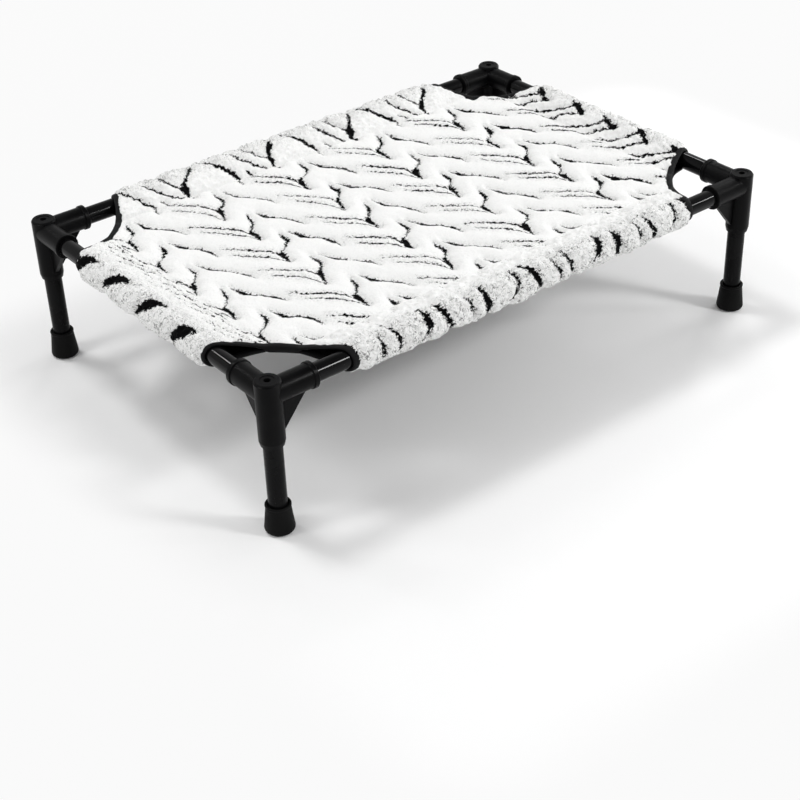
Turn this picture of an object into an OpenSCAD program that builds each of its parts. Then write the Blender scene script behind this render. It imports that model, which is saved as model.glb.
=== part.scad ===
// Raised dog cot: push-together tube frame with a fleece cover stretched on sleeves.
// Origin on the floor at the middle of the cot. X runs along the length, the front is at -Y, Z is up.

/* [Overall size] */
// Length over the feet and sleeves
cot_length = 660; // [560:10:900]
// Width over the feet and sleeves
cot_width = 450; // [380:10:700]
// Height from the floor to the top of the fleece over the rails
cot_height = 170; // [150:1:260]

/* [Tubes] */
// Outer diameter of rails and legs
tube_d = 19; // [16:0.5:22]
// Wall of rails and legs
tube_wall = 1; // [0.8:0.1:2]
// Chamfer on the outer edge of a tube's ends
tube_chamfer = 0.3; // [0.1:0.1:0.5]

/* [Corner connectors] */
// Radial clearance of a tube in its socket
tube_gap = 0.1; // [0.05:0.05:0.3]
// Gap between a tube's end and the stop in its socket
stop_gap = 0.3; // [0.2:0.1:1]
// Wall of the leg socket
leg_socket_wall = 3.2; // [2.5:0.1:4.5]
// Wall of the side sockets
side_socket_wall = 2.7; // [2:0.1:4]
// Wall between a rail's end and the leg's bore
rail_stop_wall = 2.6; // [2:0.1:4]
// Distance from the leg's axis to the mouth of a side socket
socket_reach = 49; // [44:1:66]
// Height of the leg socket from its mouth to its rim
leg_socket_h = 68; // [54:1:80]
// How far the leg socket's rim stands over the side sockets
rim_rise = 0.8; // [0.4:0.1:2]
// Ledge at the top of the leg's bore that stops the leg
leg_stop_h = 4; // [3:0.5:6]
// Length of the collar round a side socket's mouth
collar_l = 5.5; // [4:0.5:10]
// How far a collar stands proud of its socket
collar_proud = 1.1; // [0.8:0.1:2.4]
// Chamfer on the edges of collars and rims
edge_chamfer = 0.7; // [0.4:0.1:0.9]
// Height of the taper at the leg socket's mouth
mouth_taper_h = 5; // [3:0.5:8]
// How much the taper narrows the leg socket's radius
mouth_taper = 1.2; // [0.6:0.1:1.6]
// Thickness of a gusset
gusset_t = 5; // [3:0.5:8]
// Height of a gusset's foot over the leg socket's mouth
gusset_lift = 10; // [6:1:16]
// How far a gusset's outer end stays short of the collar
gusset_short = 4; // [2:0.5:8]

/* [Caps] */
// How much the cap's flange is smaller in radius than the leg socket
cap_inset = 0.9; // [0.5:0.1:2]
// Thickness of the cap's flange
cap_flange_h = 1.4; // [1:0.1:2.5]
// Diameter of the cap's plug
cap_plug_d = 14; // [11:0.5:15]
// Length of the cap's plug
cap_plug_l = 6; // [5:0.5:9]
// Radial clearance of the plug in the connector
cap_plug_gap = 0.05; // [0.05:0.05:0.2]
// Diameter of the vent hole through the cap
cap_hole_d = 7; // [3:0.5:9]
// Diameter of the shallow dish round the hole
cap_dish_d = 14.5; // [11:0.5:18]
// Depth of the dish
cap_dish_h = 0.6; // [0.3:0.1:0.8]

/* [Feet] */
// Diameter of a foot at its base
foot_base_d = 30; // [28:0.5:36]
// Diameter of a foot at its mouth
foot_top_d = 24.5; // [24:0.5:28]
// Height of a foot
foot_h = 31; // [26:1:45]
// Thickness of the rubber under the leg
foot_floor = 6; // [4:0.5:10]
// Radius of the rounded edge round a foot's base
foot_round = 4; // [1:0.5:5]
// Height of the bead round a foot's mouth
foot_bead_h = 3; // [2:0.5:5]
// How far the bead stands proud of the foot's side
foot_bead = 0.6; // [0.3:0.1:1]
// Radial clearance of a leg in its foot
foot_gap = 0.05; // [0.05:0.05:0.2]
// Width of the lead-in chamfer at a foot's mouth
foot_lead = 1.5; // [0.8:0.1:2]

/* [Cover] */
// Thickness of the fleece
fleece_t = 6.2; // [4:0.2:10]
// Thickness of the woven backing under the panel
backing_t = 1.2; // [0.8:0.1:2]
// Radial clearance of a rail in its sleeve
sleeve_gap = 0.3; // [0.2:0.1:0.6]
// Distance from a rail's axis to the seam that closes its sleeve
seam_inset = 41; // [36:1:60]
// Length of the part of a sleeve that is sewn flat at the seam
seam_flat = 8; // [5:1:12]
// Distance from a leg's axis to the sleeve's mouth along the rail
mouth_setback = 86; // [80:1:120]
// How far the corner cut-out is scooped inwards past a straight cut
scoop_depth = 14; // [8:1:20]
// Width of the binding tape round a cut-out
binding_w = 6; // [4:0.5:9]
// How far the panel hangs below the level of its seams
cover_sag = 5; // [1:0.5:15]

/* [Hidden] */
$fn = 72;
// Overlap that keeps cutters clear of the faces they cut
cut = 1;
// How far a flat runs into the round that it blends with
weld = 0.1;
// Step in degrees along the rounded edge of a foot
foot_round_step = 15;
// Shares of the way from a seam to the panel's flat middle at which its slope eases
dish_rings = [0, 1 / 3, 2 / 3, 1];
// Distance from a seam to the panel's flat middle, as a share of half the panel's width
dish_reach = 0.75;

corner_names = ["front_left", "front_right", "rear_left", "rear_right"];
// Side of each corner along X and Y, in the order of the names
corner_sides = [[-1, -1], [1, -1], [-1, 1], [1, 1]];
sleeve_names = ["sleeve_front", "sleeve_rear", "sleeve_left", "sleeve_right"];
rail_names = ["rail_front", "rail_rear", "rail_left", "rail_right"];
corner_kinds = ["connector", "cap", "leg", "foot", "binding"];

function corner_node(kind, i) = str(kind, "_", corner_names[i]);

// Colours of the finishes
plastic_colour = [0.10, 0.10, 0.11];
cap_colour = [0.14, 0.14, 0.15];
steel_colour = [0.06, 0.06, 0.07];
rubber_colour = [0.12, 0.12, 0.12];
fleece_colour = [0.92, 0.92, 0.91];
backing_colour = [0.18, 0.18, 0.19];
tape_colour = [0.05, 0.05, 0.05];

// Radii of the tubes and of what fits round them
tube_r = tube_d / 2;
bore_r = tube_r + tube_gap;
leg_socket_r = bore_r + leg_socket_wall;
side_socket_r = bore_r + side_socket_wall;
sleeve_bore_r = tube_r + sleeve_gap;
sleeve_r = sleeve_bore_r + fleece_t;
foot_bore_r = tube_r + foot_gap;

// Axes of the legs and height of the rails' axes
edge_r = max(foot_base_d / 2, sleeve_r);
leg_x = cot_length / 2 - edge_r;
leg_y = cot_width / 2 - edge_r;
rail_z = cot_height - sleeve_r;

// Levels of a corner
rim_z = rail_z + side_socket_r + rim_rise;
mouth_z = rim_z - leg_socket_h;
leg_stop_z = rim_z - leg_stop_h;
leg_top_z = leg_stop_z - stop_gap;
rail_stop = bore_r + rail_stop_wall;
rail_end = rail_stop + stop_gap;

// The panel's seams lie at the height of the rails' axes
panel_t = fleece_t + backing_t;
panel_bottom_z = rail_z - panel_t / 2;

// Circle of a corner's cut-out, measured from the leg's axis towards the middle of the cot
half_chord = mouth_setback / sqrt(2);
scoop_r = (half_chord * half_chord + scoop_depth * scoop_depth) / (2 * scoop_depth);
scoop_centre = (half_chord + scoop_depth - scoop_r) / sqrt(2);

// Point where a line from an outside point touches a circle round the origin
function touch_angle(r, p) = atan2(p[1], p[0]) + acos(r / norm(p));
function touch_point(r, p) = [r * cos(touch_angle(r, p)), r * sin(touch_angle(r, p))];

// Placing

// Children are drawn at the origin with the inside of the cot towards +X and +Y.
module at_corner(i) {
    sides = corner_sides[i];
    translate([sides[0] * leg_x, sides[1] * leg_y, 0])
        mirror([sides[0] > 0 ? 1 : 0, 0, 0])
            mirror([0, sides[1] > 0 ? 1 : 0, 0])
                children();
}

// Children run along +X; kind 0 to 3 is the front, rear, left and right rail.
module along_rail(kind) {
    if (kind == 0) translate([0, -leg_y, rail_z]) children();
    if (kind == 1) translate([0, leg_y, rail_z]) mirror([0, 1, 0]) children();
    if (kind == 2) translate([-leg_x, 0, rail_z]) mirror([1, 0, 0]) rotate([0, 0, 90]) children();
    if (kind == 3) translate([leg_x, 0, rail_z]) rotate([0, 0, 90]) children();
}

function rail_reach(kind) = kind < 2 ? leg_x : leg_y;

// Corner connectors

// Solid of revolution round +Z from the outline of its half section
module turned(outline) {
    rotate_extrude() polygon(outline);
}

// Outside of a side socket along +X, with its collar
module side_socket() {
    collar_r = side_socket_r + collar_proud;
    collar_x = socket_reach - collar_l;
    translate([0, 0, rail_z]) rotate([0, 90, 0]) turned([
        [0, 0],
        [side_socket_r, 0],
        [side_socket_r, collar_x],
        [collar_r - edge_chamfer, collar_x],
        [collar_r, collar_x + edge_chamfer],
        [collar_r, socket_reach - edge_chamfer],
        [collar_r - edge_chamfer, socket_reach],
        [0, socket_reach]
    ]);
}

// Blind bore of a side socket along +X
module side_bore() {
    translate([rail_stop, 0, rail_z]) rotate([0, 90, 0])
        cylinder(r = bore_r, h = socket_reach - rail_stop + cut);
}

// Outside of the leg socket
module leg_socket() {
    turned([
        [0, mouth_z],
        [leg_socket_r - mouth_taper, mouth_z],
        [leg_socket_r, mouth_z + mouth_taper_h],
        [leg_socket_r, rim_z - edge_chamfer],
        [leg_socket_r - edge_chamfer, rim_z],
        [0, rim_z]
    ]);
}

// Triangular web under a side socket along +X
module gusset() {
    gusset_end = socket_reach - collar_l - gusset_short;
    rotate([90, 0, 0])
        linear_extrude(height = gusset_t, center = true)
            polygon([
                [bore_r + leg_socket_wall / 2, mouth_z + gusset_lift],
                [leg_socket_r, mouth_z + gusset_lift],
                [gusset_end, rail_z - side_socket_r],
                [gusset_end, rail_z - bore_r - side_socket_wall / 2],
                [bore_r + leg_socket_wall / 2, rail_z - bore_r - side_socket_wall / 2]
            ]);
}

// Children are drawn along +X and again along +Y.
module both_sides() {
    children();
    mirror([1, -1, 0]) children();
}

module connector() {
    color(plastic_colour) difference() {
        union() {
            leg_socket();
            both_sides() side_socket();
            both_sides() gusset();
        }
        translate([0, 0, mouth_z - cut])
            cylinder(r = bore_r, h = leg_stop_z - mouth_z + cut);
        translate([0, 0, leg_stop_z - cut])
            cylinder(r = cap_plug_d / 2 + cap_plug_gap, h = leg_stop_h + 2 * cut);
        both_sides() side_bore();
    }
}

module cap() {
    flange_r = leg_socket_r - cap_inset;
    top_z = rim_z + cap_flange_h;
    color(cap_colour) turned([
        [cap_hole_d / 2, rim_z - cap_plug_l],
        [cap_plug_d / 2, rim_z - cap_plug_l],
        [cap_plug_d / 2, rim_z],
        [flange_r, rim_z],
        [flange_r, top_z - edge_chamfer],
        [flange_r - edge_chamfer, top_z],
        [cap_dish_d / 2, top_z],
        [cap_dish_d / 2, top_z - cap_dish_h],
        [cap_hole_d / 2, top_z - cap_dish_h]
    ]);
}

// Tubes

// Tube from the origin along +Z
module tube(length) {
    turned([
        [tube_r - tube_wall, 0],
        [tube_r - tube_chamfer, 0],
        [tube_r, tube_chamfer],
        [tube_r, length - tube_chamfer],
        [tube_r - tube_chamfer, length],
        [tube_r - tube_wall, length]
    ]);
}

module leg() {
    color(steel_colour) translate([0, 0, foot_floor]) tube(leg_top_z - foot_floor);
}

module rail(kind) {
    half = rail_reach(kind) - rail_end;
    color(steel_colour) along_rail(kind)
        translate([-half, 0, 0]) rotate([0, 90, 0]) tube(2 * half);
}

// Feet

module foot() {
    base_r = foot_base_d / 2;
    top_r = foot_top_d / 2;
    bead_z = foot_h - foot_bead_h;
    base_edge = [
        for (a = [-90:foot_round_step:0])
            [base_r - foot_round + foot_round * cos(a), foot_round + foot_round * sin(a)]
    ];
    color(rubber_colour) turned(concat(
        [[0, 0]],
        base_edge,
        [
            [top_r, bead_z],
            [top_r + foot_bead, bead_z + foot_bead_h / 3],
            [top_r + foot_bead, foot_h - foot_bead_h / 3],
            [top_r, foot_h],
            [foot_bore_r + foot_lead, foot_h],
            [foot_bore_r, foot_h - foot_lead],
            [foot_bore_r, foot_floor],
            [0, foot_floor]
        ]
    ));
}

// Cover

// Drop-shaped bar along +X: round at the rail, drawn in by two flats to a tip at +Y
module drop_bar(r, tip, half) {
    touch = touch_point(r - weld, tip);
    rotate([90, 0, 90]) {
        cylinder(r = r, h = 2 * half, center = true);
        linear_extrude(height = 2 * half, center = true)
            polygon([[0, 0], touch, tip, [tip[0], -tip[1]], [touch[0], -touch[1]]]);
    }
}

// Whole sleeve along +X before its ends are cut; its hollow ends in a blunt tip at the seam
module sleeve_blank(half) {
    difference() {
        drop_bar(sleeve_r, [seam_inset, panel_t / 2], half);
        drop_bar(sleeve_bore_r, [seam_inset - seam_flat, weld], half + cut);
    }
}

// Upright round cutter of a corner's cut-out; grow widens it
module scoop(grow) {
    translate([scoop_centre, scoop_centre, 0])
        cylinder(r = scoop_r + grow, h = cot_height + cut);
}

module all_scoops(grow) {
    for (i = [0:3]) at_corner(i) scoop(grow);
}

module sleeve(kind) {
    color(fleece_colour) difference() {
        along_rail(kind) sleeve_blank(rail_reach(kind) - rail_end);
        all_scoops(binding_w);
    }
}

// Corners of the rectangle that the dished panel follows at a share of its slope
function ring_corners(share, level) = let (
    inset = share * dish_reach * (leg_y - seam_inset),
    x = leg_x - seam_inset - inset,
    y = leg_y - seam_inset - inset,
    z = level - cover_sag * (1 - (1 - share) * (1 - share))
) [[-x, -y, z], [x, -y, z], [x, y, z], [-x, y, z]];

// Faces of the slope between two neighbouring rings, whose first corner has number first
function slope_faces(first) = [
    for (i = [0:3]) [first + i, first + (i + 1) % 4, first + 4 + (i + 1) % 4, first + 4 + i]
];

function flipped(faces) = [for (f = faces) [for (k = [len(f) - 1:-1:0]) f[k]]];

// Sheet that hangs from the four seams in a shallow dish, from a level at the seams upwards
module sheet_blank(level, thickness) {
    slopes = len(dish_rings) - 1;
    top = 4 * len(dish_rings);
    under = [for (k = [0:slopes - 1]) each slope_faces(4 * k)];
    over = [for (k = [0:slopes - 1]) each slope_faces(top + 4 * k)];
    edges = [for (i = [0:3]) [i, i + top, (i + 1) % 4 + top, (i + 1) % 4]];
    polyhedron(
        points = [
            for (rise = [0, thickness], share = dish_rings) each ring_corners(share, level + rise)
        ],
        faces = concat(
            under,
            [[for (i = [0:3]) 4 * slopes + i]],
            flipped(over),
            flipped([[for (i = [0:3]) top + 4 * slopes + i]]),
            edges
        )
    );
}

module fleece_panel() {
    color(fleece_colour) difference() {
        sheet_blank(panel_bottom_z + backing_t, fleece_t);
        all_scoops(binding_w);
    }
}

module backing_cloth() {
    color(backing_colour) difference() {
        sheet_blank(panel_bottom_z, backing_t);
        all_scoops(binding_w);
    }
}

// Band of the cover's edge round a cut-out and the two sleeve mouths there
module binding(i) {
    color(tape_colour) intersection() {
        union() {
            along_rail(corner_sides[i][1] < 0 ? 0 : 1) sleeve_blank(leg_x - rail_end);
            along_rail(corner_sides[i][0] < 0 ? 2 : 3) sleeve_blank(leg_y - rail_end);
            sheet_blank(panel_bottom_z, panel_t);
        }
        at_corner(i) difference() {
            scoop(binding_w);
            scoop(0);
        }
    }
}

// Drawing

for (i = [0:3]) {
    at_corner(i) connector();
    at_corner(i) cap();
    at_corner(i) leg();
    at_corner(i) foot();
    binding(i);
    rail(i);
    sleeve(i);
}
fleece_panel();
backing_cloth();
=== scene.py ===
"""Raised dog cot: fleece cover, binding tape, stitching, finishes, studio and camera."""

import logging
import math
from collections.abc import Callable, Sequence
from dataclasses import dataclass, field
from enum import Enum

import bmesh
import bpy
import numpy as np
from mathutils import Matrix, Vector


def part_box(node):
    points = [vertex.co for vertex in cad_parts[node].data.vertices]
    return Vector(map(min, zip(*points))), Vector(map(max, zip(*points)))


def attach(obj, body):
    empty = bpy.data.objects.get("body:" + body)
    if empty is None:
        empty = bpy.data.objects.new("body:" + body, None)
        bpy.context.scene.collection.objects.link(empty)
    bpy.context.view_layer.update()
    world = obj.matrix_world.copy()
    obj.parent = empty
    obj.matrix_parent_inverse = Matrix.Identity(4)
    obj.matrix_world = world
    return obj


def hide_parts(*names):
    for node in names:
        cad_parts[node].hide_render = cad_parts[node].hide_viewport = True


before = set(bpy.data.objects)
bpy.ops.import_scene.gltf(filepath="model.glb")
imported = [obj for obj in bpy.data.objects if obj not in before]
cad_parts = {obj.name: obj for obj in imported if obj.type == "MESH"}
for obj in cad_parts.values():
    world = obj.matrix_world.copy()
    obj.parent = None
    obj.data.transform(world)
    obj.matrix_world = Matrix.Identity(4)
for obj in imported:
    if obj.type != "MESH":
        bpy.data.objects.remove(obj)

LOG = logging.getLogger("dog_cot")
Array = np.ndarray
Point = tuple[float, float, float]
Colour = tuple[float, float, float, float]
Sockets = bpy.types.bpy_prop_collection
MM = 0.001
MERGE_REACH = 0.01 * MM
CLOTH_UV = "cloth"
BOLDNESS = "boldness"
CURL = "curl"
# Number on the cloth's points that weights the painted shade between curls.
CURL_SHADE = "curl_shade"
ROOT_BODY = "frame"
VECTOR = "NodeSocketVector"
FLOAT = "NodeSocketFloat"
BLACK = (0.0, 0.0, 0.0, 1.0)
WHITE = (1.0, 1.0, 1.0, 1.0)


class Place(Enum):
    """A named place on the cot."""

    @property
    def label(self) -> str:
        """Name as the CAD nodes spell it."""
        return self.name.lower()


class Side(Place):
    """The four sides of the cot, each with the direction from the middle to its rail."""

    FRONT = (0, -1)
    REAR = (0, 1)
    LEFT = (-1, 0)
    RIGHT = (1, 0)

    @property
    def lengthwise(self) -> bool:
        """True for the two long rails, which run along X."""
        return self.value[0] == 0


class Corner(Place):
    """The four corners of the cot, each with its signs along X and Y and its bare tape in millimetres."""

    FRONT_LEFT = (-1, -1, 2.0)
    FRONT_RIGHT = (1, -1, 4.5)
    REAR_LEFT = (-1, 1, 4.5)
    REAR_RIGHT = (1, 1, 0.3)

    @property
    def signs(self) -> tuple[int, int]:
        """Signs of the corner's place along X and Y."""
        return self.value[:2]

    @property
    def bare_tape(self) -> float:
        """Width of binding tape that the panel's pile leaves bare here, in metres."""
        return self.value[2] * MM


def ease(x: Array) -> Array:
    """Eases from 0 to 1, flat at both ends."""
    x = np.clip(x, 0.0, 1.0)
    return x * x * (3.0 - 2.0 * x)


def fall_off(distance: Array, reach: float) -> Array:
    """Falls from 1 at no distance towards 0 past a reach."""
    return np.exp(-((distance / reach) ** 2))


@dataclass(frozen=True)
class Fade:
    """A smooth change: how much, from which place and over which length, below 0 for backwards."""

    amount: float
    start: float
    length: float

    def at(self, place: Array) -> Array:
        """The change at a place."""
        return self.amount * ease((place - self.start) / self.length)


def put(name: str, data: bpy.types.ID) -> bpy.types.Object:
    """Adds an object to the scene.

    Args:
        name: the object's name.
        data: its mesh, lamp or camera.

    Returns:
        The object.
    """
    piece = bpy.data.objects.new(name, data)
    bpy.context.scene.collection.objects.link(piece)
    return piece


def put_mesh(name: str, bm: bmesh.types.BMesh) -> bpy.types.Object:
    """Adds a bmesh to the scene as an object.

    Args:
        name: the object's name.
        bm: its finished shape, which is freed.

    Returns:
        The object.
    """
    mesh = bpy.data.meshes.new(name)
    bm.to_mesh(mesh)
    bm.free()
    return put(name, mesh)


@dataclass(frozen=True)
class Lattice:
    """A seeded random lattice for lumps and curls, the same on each run."""

    seed: int
    size: int = 256
    least_curl: float = 0.6

    def layer(self, number: int) -> Array:
        """One table of random numbers from 0 to 1."""
        return np.random.default_rng([self.seed, number]).random((self.size, self.size))

    def lumps(self, s: Array, t: Array, cell: float) -> Array:
        """Smooth lumps over a cloth.

        Args:
            s: places along the cloth, in metres.
            t: places across the cloth, in metres.
            cell: spacing of the lumps, in metres.

        Returns:
            Heights from -1 to 1.
        """
        table = self.layer(0)
        i, j = np.floor(s / cell).astype(int), np.floor(t / cell).astype(int)
        fs, ft = ease(s / cell - i), ease(t / cell - j)
        i0, j0, i1, j1 = (k % self.size for k in (i, j, i + 1, j + 1))
        near = table[i0, j0] * (1 - fs) + table[i1, j0] * fs
        far = table[i0, j1] * (1 - fs) + table[i1, j1] * fs
        return 2.0 * (near * (1 - ft) + far * ft) - 1.0

    def curls(self, s: Array, t: Array, cell: float) -> Array:
        """Round heads of wool curls packed about a cell apart.

        Args:
            s: places along the cloth, in metres.
            t: places across the cloth, in metres.
            cell: mean spacing of the curls, in metres.

        Returns:
            Heights from 0 in the gaps to 1 on top of a curl.
        """
        along, across, tall = self.layer(1), self.layer(2), self.layer(3)
        i, j = np.floor(s / cell).astype(int), np.floor(t / cell).astype(int)
        best = np.zeros_like(s)
        for di in (-1, 0, 1):
            for dj in (-1, 0, 1):
                ci, cj = (i + di) % self.size, (j + dj) % self.size
                ds = s / cell - (i + di + along[ci, cj])
                dt = t / cell - (j + dj + across[ci, cj])
                head = np.sqrt(np.clip(1.0 - (ds * ds + dt * dt), 0.0, 1.0))
                best = np.maximum(best, head * (self.least_curl + (1 - self.least_curl) * tall[ci, cj]))
        return best


@dataclass(frozen=True)
class CotSizes:
    """Sizes of the cot in metres, read from the frame, and the cut of the cover's corners."""

    leg_x: float
    leg_y: float
    rail_z: float
    tube_r: float
    sleeve_r: float
    seam_inset: float
    panel_top: float
    backing_top: float
    backing_bottom: float
    sag: float
    mouth_setback: float = 86 * MM
    scoop_depth: float = 14 * MM
    sag_fullness: float = 0.7

    @classmethod
    def from_frame(cls) -> "CotSizes":
        """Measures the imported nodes.

        Returns:
            The sizes that every sub-assembly is built from.
        """
        leg_low, leg_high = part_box("leg_rear_right")
        rail_low, rail_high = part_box("rail_front")
        panel_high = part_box("fleece_panel")[1]
        backing_low, backing_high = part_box("backing_cloth")
        rail_z = (rail_low.z + rail_high.z) / 2
        backing_bottom = 2 * rail_z - panel_high.z
        leg_x = (leg_low.x + leg_high.x) / 2
        return cls(
            leg_x=leg_x,
            leg_y=(leg_low.y + leg_high.y) / 2,
            rail_z=rail_z,
            tube_r=(rail_high.z - rail_low.z) / 2,
            sleeve_r=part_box("sleeve_front")[1].z - rail_z,
            seam_inset=leg_x - panel_high.x,
            panel_top=panel_high.z,
            backing_top=backing_high.z,
            backing_bottom=backing_bottom,
            sag=backing_bottom - backing_low.z,
        )

    @property
    def half_panel(self) -> float:
        """Half the thickness of the cover between the seams."""
        return (self.panel_top - self.backing_bottom) / 2

    @property
    def panel_reach(self) -> tuple[float, float]:
        """Half the length and half the width of the cover between the seams."""
        return self.leg_x - self.seam_inset, self.leg_y - self.seam_inset

    def rail_reach(self, side: Side) -> float:
        """Distance along a rail from its middle to a leg."""
        return self.leg_x if side.lengthwise else self.leg_y

    def beside_rail(self, side: Side, along: Array, inward: Array) -> tuple[Array, Array]:
        """Turns places beside a rail into places on the cot.

        Args:
            side: the rail's side.
            along: distance along the rail from its middle.
            inward: distance from the rail's axis towards the middle of the cot.

        Returns:
            The places' X and Y.
        """
        out_x, out_y = side.value
        if side.lengthwise:
            return along, out_y * (self.leg_y - inward)
        return out_x * (self.leg_x - inward), along

    @property
    def scoop_r(self) -> float:
        """Radius of a corner's cut-out."""
        half_chord = self.mouth_setback / math.sqrt(2)
        return (half_chord**2 + self.scoop_depth**2) / (2 * self.scoop_depth)

    @property
    def scoop_centre(self) -> float:
        """Place of the cut-out's centre, inwards from the leg along both rails."""
        return (self.mouth_setback / math.sqrt(2) + self.scoop_depth - self.scoop_r) / math.sqrt(2)

    def scoop_reach(self, inward: Array) -> Array:
        """Distance along a rail from the leg to the cut-out's edge.

        Args:
            inward: distance from the rail's axis towards the middle of the cot.

        Returns:
            Distance along the rail.
        """
        rest = self.scoop_r**2 - (inward - self.scoop_centre) ** 2
        return self.scoop_centre + np.sqrt(np.maximum(rest, 0.0))

    def from_scoop(self, first: Array, second: Array) -> Array:
        """Distance from a cut-out's edge, for a place counted inwards from the leg along both rails."""
        return np.hypot(first - self.scoop_centre, second - self.scoop_centre) - self.scoop_r

    def sag_at(self, x: Array, y: Array) -> Array:
        """How far the stretched cover dips.

        Args:
            x: places along the panel, from its middle.
            y: places across the panel, from its middle.

        Returns:
            Depths below the seams.
        """
        half_x, half_y = self.panel_reach
        across = np.clip(1.0 - (x / half_x) ** 2, 0.0, 1.0)
        along = np.clip(1.0 - (y / half_y) ** 2, 0.0, 1.0)
        return self.sag * across**self.sag_fullness * along**self.sag_fullness


@dataclass(frozen=True)
class DropSection:
    """Outline of a sleeve across its rail: from the seam over the rail and back under to the seam."""

    radius: float
    tip_in: float
    tip_up: float

    @property
    def touch(self) -> float:
        """Angle at which the flats leave the round."""
        reach = math.hypot(self.tip_in, self.tip_up)
        return math.atan2(self.tip_up, self.tip_in) + math.acos(self.radius / reach)

    @property
    def flat(self) -> float:
        """Length of each flat."""
        return math.sqrt(self.tip_in**2 + self.tip_up**2 - self.radius**2)

    @property
    def girth(self) -> float:
        """Whole length of the outline."""
        return 2 * self.flat + self.radius * (2 * math.pi - 2 * self.touch)

    def at(self, along: Array) -> tuple[Array, Array, Array, Array]:
        """Points and normals on the outline.

        Args:
            along: distances from the upper end of the outline.

        Returns:
            Distance inwards from the rail's axis, height over it, and the normal's two parts.
        """
        lower = along > self.girth / 2
        near = np.where(lower, self.girth - along, along)
        on_flat = near < self.flat
        share = np.clip(near / self.flat, 0.0, 1.0)
        angle = np.where(on_flat, self.touch, self.touch + (near - self.flat) / self.radius)
        round_in, round_up = self.radius * np.cos(angle), self.radius * np.sin(angle)
        inward = np.where(on_flat, self.tip_in + (round_in - self.tip_in) * share, round_in)
        up = np.where(on_flat, self.tip_up + (round_up - self.tip_up) * share, round_up)
        turn = np.where(lower, -1.0, 1.0)
        return inward, up * turn, np.cos(angle), np.sin(angle) * turn


class NodeKit:
    """Adds shader nodes to one tree and joins them, so that a finish reads as its formula."""

    MIX_FIRST = 6
    MIX_SECOND = 7
    MIX_RESULT = 2

    def __init__(self, tree: bpy.types.NodeTree) -> None:
        """Starts on a tree, which may hold nodes already."""
        self.tree = tree

    def add(self, kind: str, inputs: dict | None = None, **settings: object) -> bpy.types.Node:
        """Adds a node.

        Args:
            kind: the node's type name.
            inputs: values or sockets for the node's inputs, by name or number.
            **settings: properties of the node.

        Returns:
            The new node.
        """
        node = self.tree.nodes.new(kind)
        for name, value in settings.items():
            setattr(node, name, value)
        for name, value in (inputs or {}).items():
            self.feed(node.inputs[name], value)
        return node

    def feed(self, socket: bpy.types.NodeSocket, value: object) -> None:
        """Fills an input.

        Args:
            socket: the input.
            value: a socket to link into it, or a plain value.
        """
        if isinstance(value, bpy.types.NodeSocket):
            self.tree.links.new(value, socket)
        else:
            socket.default_value = value

    def math(self, operation: str, *values: object, clamp: bool = False) -> bpy.types.NodeSocket:
        """Result of a Math node on one to three values."""
        node = self.add("ShaderNodeMath", dict(enumerate(values)), operation=operation, use_clamp=clamp)
        return node.outputs[0]

    def vector(self, operation: str, *values: object) -> bpy.types.NodeSocket:
        """Vector result of a Vector Math node on one or two vectors."""
        node = self.add("ShaderNodeVectorMath", dict(enumerate(values)), operation=operation)
        return node.outputs["Vector"]

    def scaled(self, vector: object, factor: object) -> bpy.types.NodeSocket:
        """A vector times a number."""
        node = self.add("ShaderNodeVectorMath", {0: vector, "Scale": factor}, operation="SCALE")
        return node.outputs["Vector"]

    def measure(self, operation: str, *values: object) -> bpy.types.NodeSocket:
        """Number that a Vector Math node gives, such as a length or a dot product."""
        node = self.add("ShaderNodeVectorMath", dict(enumerate(values)), operation=operation)
        return node.outputs["Value"]

    def noise(self, where: object, scale: object, detail: float = 2.0,
              distortion: float = 0.0) -> bpy.types.NodeSocket:
        """Noise from 0 to 1 with a scale in lumps per metre."""
        inputs = {"Vector": where, "Scale": scale, "Detail": detail, "Distortion": distortion}
        return self.add("ShaderNodeTexNoise", inputs).outputs["Fac"]

    def jitter(self, where: object, scale: float) -> bpy.types.NodeSocket:
        """Noise vector about zero with a scale in lumps per metre."""
        colour = self.add("ShaderNodeTexNoise", {"Vector": where, "Scale": scale}).outputs["Color"]
        return self.vector("SUBTRACT", colour, (0.5, 0.5, 0.5))

    def ramp(self, value: object, low: float, high: float, out_low: float,
             out_high: float) -> bpy.types.NodeSocket:
        """Smooth step of a value from one range to another."""
        inputs = {"Value": value, 1: low, 2: high, 3: out_low, 4: out_high}
        return self.add("ShaderNodeMapRange", inputs, interpolation_type="SMOOTHSTEP").outputs[0]

    def mix(self, factor: object, first: object, second: object) -> bpy.types.NodeSocket:
        """Mix of two colours."""
        inputs = {"Factor": factor, self.MIX_FIRST: first, self.MIX_SECOND: second}
        return self.add("ShaderNodeMix", inputs, data_type="RGBA").outputs[self.MIX_RESULT]

    def object_place(self) -> bpy.types.NodeSocket:
        """Object coordinates."""
        return self.add("ShaderNodeTexCoord").outputs["Object"]

    def cloth_place(self) -> bpy.types.NodeSocket:
        """The piece's own cloth coordinates, in metres."""
        return self.add("ShaderNodeUVMap", uv_map=CLOTH_UV).outputs["UV"]

    def attribute(self, name: str) -> bpy.types.NodeSocket:
        """A number kept on the piece's points."""
        return self.add("ShaderNodeAttribute", attribute_name=name).outputs["Fac"]


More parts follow.
